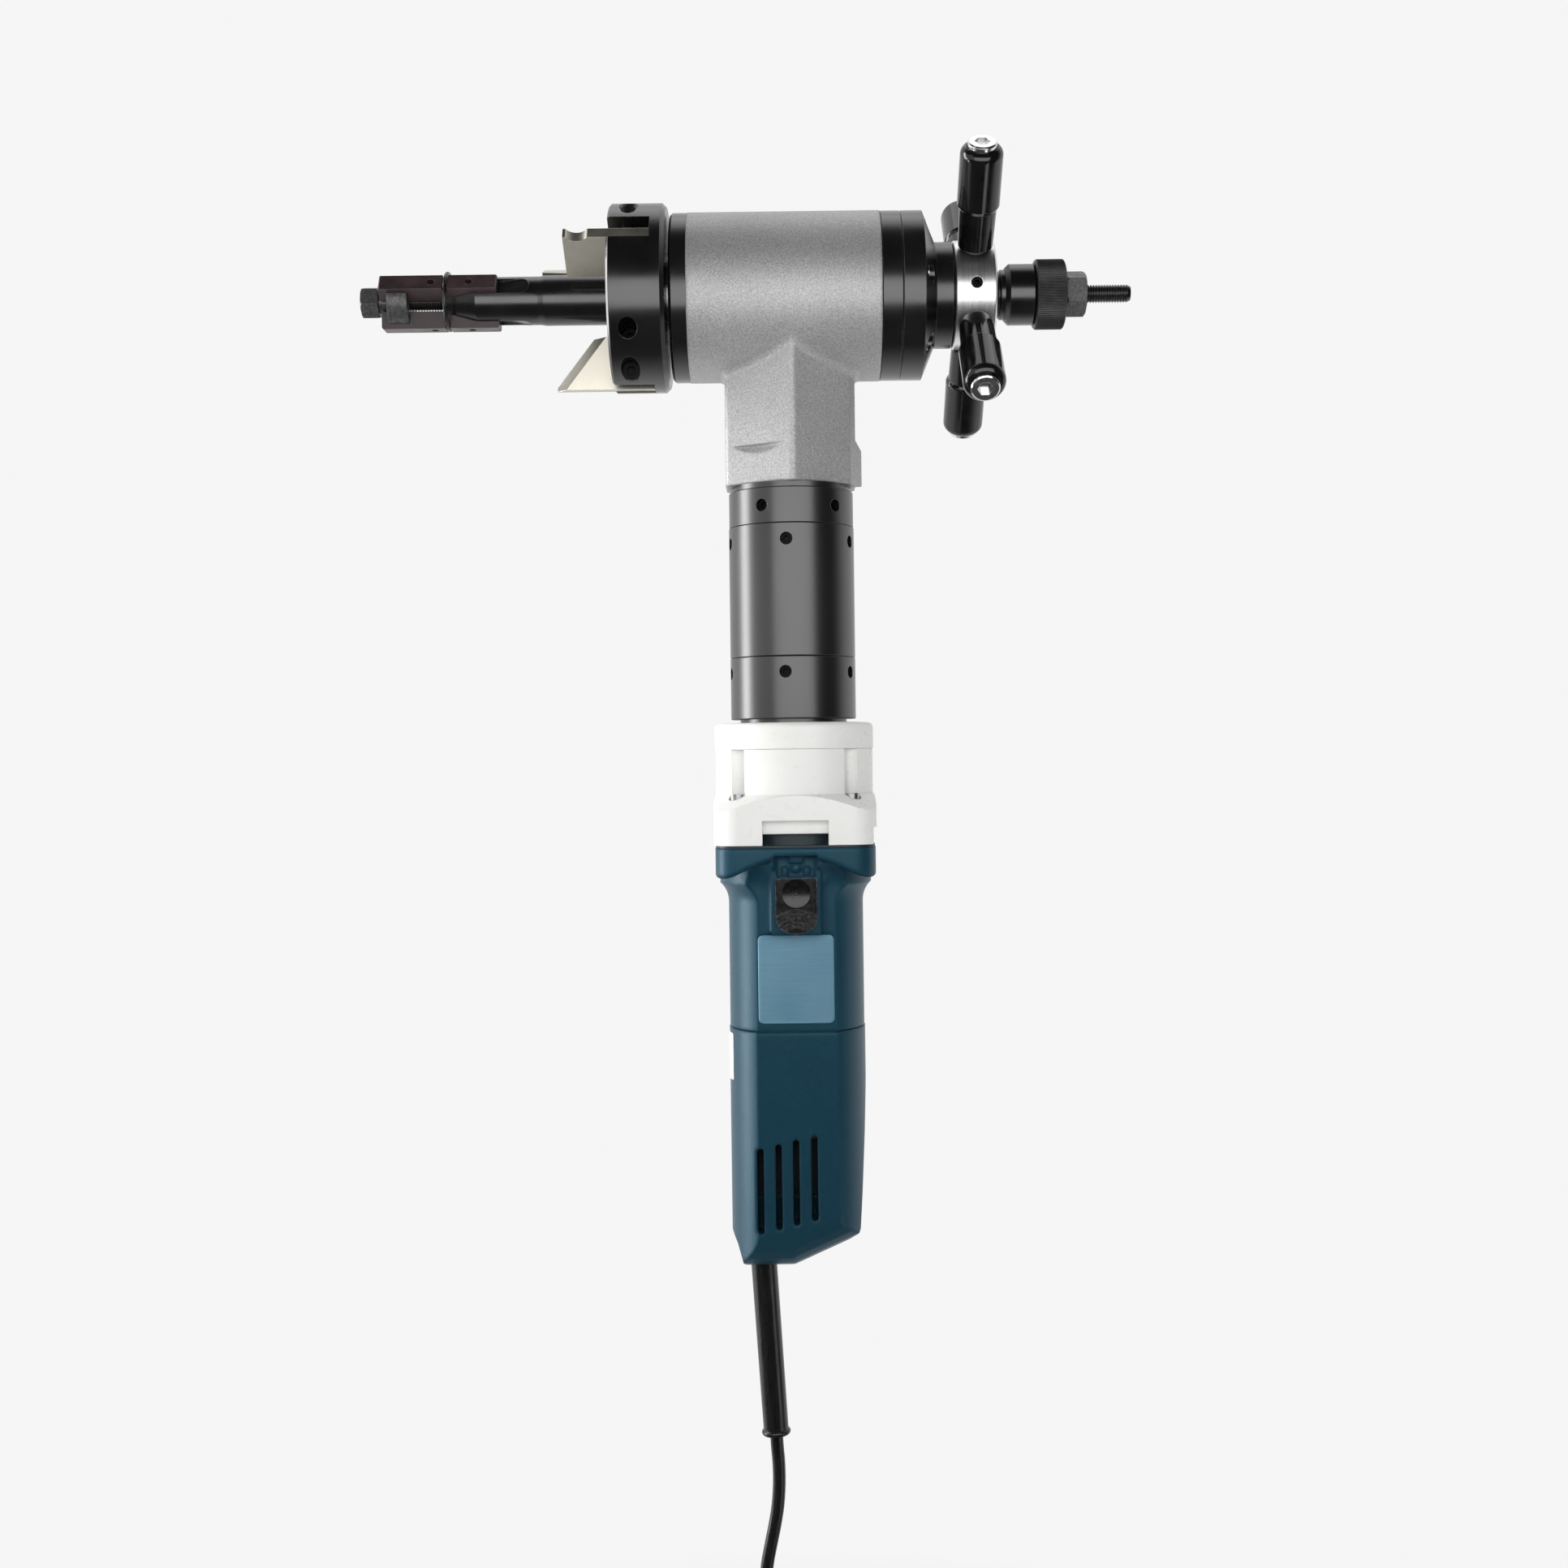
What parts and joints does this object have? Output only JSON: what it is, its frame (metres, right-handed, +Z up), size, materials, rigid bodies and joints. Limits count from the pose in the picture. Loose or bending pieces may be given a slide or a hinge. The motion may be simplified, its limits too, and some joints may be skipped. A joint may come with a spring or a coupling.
{
  "type": "pipe beveling machine",
  "caption": "Electric pipe beveling machine: an expanding mandrel grips the bore, a geared motor turns a cutter head round it, and a hand wheel feeds the head along.",
  "frame": {"origin": "on the mandrel's axis at the middle of the jaws, the place a pipe's bore is gripped", "axes": "+X along the mandrel from the jaws to the hand wheel, +Z up, with the motor hanging down along -Z, and the picture's viewer at -Y"},
  "size_m": [0.3497, 0.1142, 0.8985],
  "materials": {
    "black_oxide": "black oxide, semi-gloss",
    "gunmetal": "dark turned steel, gloss",
    "jaw_oxide": "brown oxide",
    "cutter_steel": "satin coated tool steel",
    "cast_grey": "sand-blasted casting",
    "turned_aluminium": "turned",
    "chrome": "polished",
    "steel": "machined",
    "gear_steel": "ground",
    "black_plastic": "gloss",
    "switch_plastic": "satin",
    "white_plastic": "gloss",
    "teal_plastic": "fine texture",
    "dark_plastic": "satin",
    "black_rubber": "matt",
    "winding": "lacquered",
    "carbon": "matt"
  },
  "bodies": {
    "mandrel": {"mandrel_shaft": "black_oxide", "stop_sleeve": "black_oxide"},
    "draw_bar_set": {"draw_bar": "black_oxide", "jaw_carrier": "black_oxide", "front_nut": "gunmetal", "jaw_ring": "black_rubber"},
    "jaw_a": {"jaw_1": "jaw_oxide"},
    "jaw_b": {"jaw_2": "jaw_oxide"},
    "jaw_c": {"jaw_3": "jaw_oxide"},
    "tension_nut_set": {"tension_nut": "black_oxide"},
    "machine": {"main_housing": "cast_grey", "front_cap": "black_oxide", "rear_ring": "black_oxide", "rear_cover": "black_oxide", "case_screws": "steel", "spindle_bearings": "steel", "pinion_bearing": "steel", "gearbox_upper_ring": "gunmetal", "gearbox_tube": "gunmetal", "gearbox_lower_ring": "gunmetal", "gearbox_grub_screws": "black_oxide", "ring_gear": "gear_steel", "adapter_cap": "white_plastic", "adapter_case": "white_plastic", "bearing_plate": "dark_plastic", "motor_shell": "teal_plastic", "rear_handle": "teal_plastic", "stator": "winding", "brushes": "carbon", "motor_bearings": "steel", "switch_module": "dark_plastic", "strain_relief": "black_rubber", "cord_lead": "black_rubber", "cord_hank": "black_rubber", "hank_tie": "dark_plastic", "plug": "black_rubber"},
    "hand_wheel": {"feed_hub": "turned_aluminium", "handle_grips": "black_plastic", "handle_screws": "chrome", "hub_set_screw": "black_oxide"},
    "cutter_spindle": {"spindle": "steel", "bevel_gear": "gear_steel", "cutter_head": "black_oxide", "j_cutter": "cutter_steel", "bevel_cutter": "cutter_steel", "facing_cutter": "cutter_steel", "cutter_screws": "black_oxide"},
    "gear_output": {"bevel_pinion": "gear_steel", "output_carrier": "steel"},
    "planet_upper_a": {"upper_planet_1": "gear_steel"},
    "planet_upper_b": {"upper_planet_2": "gear_steel"},
    "planet_upper_c": {"upper_planet_3": "gear_steel"},
    "gear_stage": {"stage_carrier": "gear_steel"},
    "planet_lower_a": {"lower_planet_1": "gear_steel"},
    "planet_lower_b": {"lower_planet_2": "gear_steel"},
    "planet_lower_c": {"lower_planet_3": "gear_steel"},
    "rotor": {"armature": "gear_steel", "cooling_fan": "dark_plastic"},
    "power_switch": {"switch_slider": "switch_plastic"}
  },
  "joints": [
    {"name": "tension_nut_turn", "type": "hinge", "parent": "mandrel", "child": "tension_nut_set", "pos_m": [0.28, 0, 0], "axis": [-1, 0, 0], "range_deg": [0, 2880]},
    {"name": "draw_bar_slide", "type": "slide", "parent": "mandrel", "child": "draw_bar_set", "axis": [1, 0, 0], "range_m": [0, 0.01], "deforming": ["jaw_ring"]},
    {"name": "jaw_a_slide", "type": "slide", "parent": "draw_bar_set", "child": "jaw_a", "axis": [0, -0.866, 0.5], "range_m": [0, 0.00137]},
    {"name": "jaw_b_slide", "type": "slide", "parent": "draw_bar_set", "child": "jaw_b", "axis": [0, 0, -1], "range_m": [0, 0.00137]},
    {"name": "jaw_c_slide", "type": "slide", "parent": "draw_bar_set", "child": "jaw_c", "axis": [0, 0.866, 0.5], "range_m": [0, 0.00137]},
    {"name": "machine_slide", "type": "slide", "parent": "mandrel", "child": "machine", "axis": [-1, 0, 0], "range_m": [0, 0.025]},
    {"name": "feed_turn", "type": "hinge", "parent": "machine", "child": "hand_wheel", "pos_m": [0.241, 0, 0], "axis": [-1, 0, 0], "range_deg": [0, 3600]},
    {"name": "cutter_spin", "type": "hinge", "parent": "machine", "child": "cutter_spindle", "pos_m": [0.09, 0, 0], "axis": [1, 0, 0], "continuous": true},
    {"name": "output_spin", "type": "hinge", "parent": "machine", "child": "gear_output", "pos_m": [0.158, 0, -0.1], "axis": [0, 0, 1], "continuous": true},
    {"name": "planet_upper_a_spin", "type": "hinge", "parent": "gear_output", "child": "planet_upper_a", "pos_m": [0.1715, 0, -0.12], "axis": [0, 0, 1], "continuous": true},
    {"name": "planet_upper_b_spin", "type": "hinge", "parent": "gear_output", "child": "planet_upper_b", "pos_m": [0.15125, 0.01169, -0.12], "axis": [0, 0, 1], "continuous": true},
    {"name": "planet_upper_c_spin", "type": "hinge", "parent": "gear_output", "child": "planet_upper_c", "pos_m": [0.15125, -0.01169, -0.12], "axis": [0, 0, 1], "continuous": true},
    {"name": "stage_spin", "type": "hinge", "parent": "machine", "child": "gear_stage", "pos_m": [0.158, 0, -0.13], "axis": [0, 0, 1], "continuous": true},
    {"name": "planet_lower_a_spin", "type": "hinge", "parent": "gear_stage", "child": "planet_lower_a", "pos_m": [0.1715, 0, -0.14], "axis": [0, 0, 1], "continuous": true},
    {"name": "planet_lower_b_spin", "type": "hinge", "parent": "gear_stage", "child": "planet_lower_b", "pos_m": [0.15125, 0.01169, -0.14], "axis": [0, 0, 1], "continuous": true},
    {"name": "planet_lower_c_spin", "type": "hinge", "parent": "gear_stage", "child": "planet_lower_c", "pos_m": [0.15125, -0.01169, -0.14], "axis": [0, 0, 1], "continuous": true},
    {"name": "rotor_spin", "type": "hinge", "parent": "machine", "child": "rotor", "pos_m": [0.158, 0, -0.3], "axis": [0, 0, 1], "continuous": true},
    {"name": "switch_slide", "type": "slide", "parent": "machine", "child": "power_switch", "axis": [0, 0, 1], "range_m": [0, 0.006]}
  ],
  "couplings": [
    {"joint": "draw_bar_slide", "follows": "tension_nut_turn", "m_per_rad": 0.00019894},
    {"joint": "jaw_a_slide", "follows": "tension_nut_turn", "m_per_rad": 0.000027252},
    {"joint": "jaw_b_slide", "follows": "tension_nut_turn", "m_per_rad": 0.000027252},
    {"joint": "jaw_c_slide", "follows": "tension_nut_turn", "m_per_rad": 0.000027252},
    {"joint": "machine_slide", "follows": "feed_turn", "m_per_rad": 0.00039789},
    {"joint": "output_spin", "follows": "cutter_spin", "ratio": -3},
    {"joint": "planet_upper_a_spin", "follows": "cutter_spin", "ratio": 9},
    {"joint": "planet_upper_b_spin", "follows": "cutter_spin", "ratio": 9},
    {"joint": "planet_upper_c_spin", "follows": "cutter_spin", "ratio": 9},
    {"joint": "stage_spin", "follows": "cutter_spin", "ratio": -12},
    {"joint": "planet_lower_a_spin", "follows": "cutter_spin", "ratio": 36},
    {"joint": "planet_lower_b_spin", "follows": "cutter_spin", "ratio": 36},
    {"joint": "planet_lower_c_spin", "follows": "cutter_spin", "ratio": 36},
    {"joint": "rotor_spin", "follows": "cutter_spin", "ratio": -48}
  ]
}
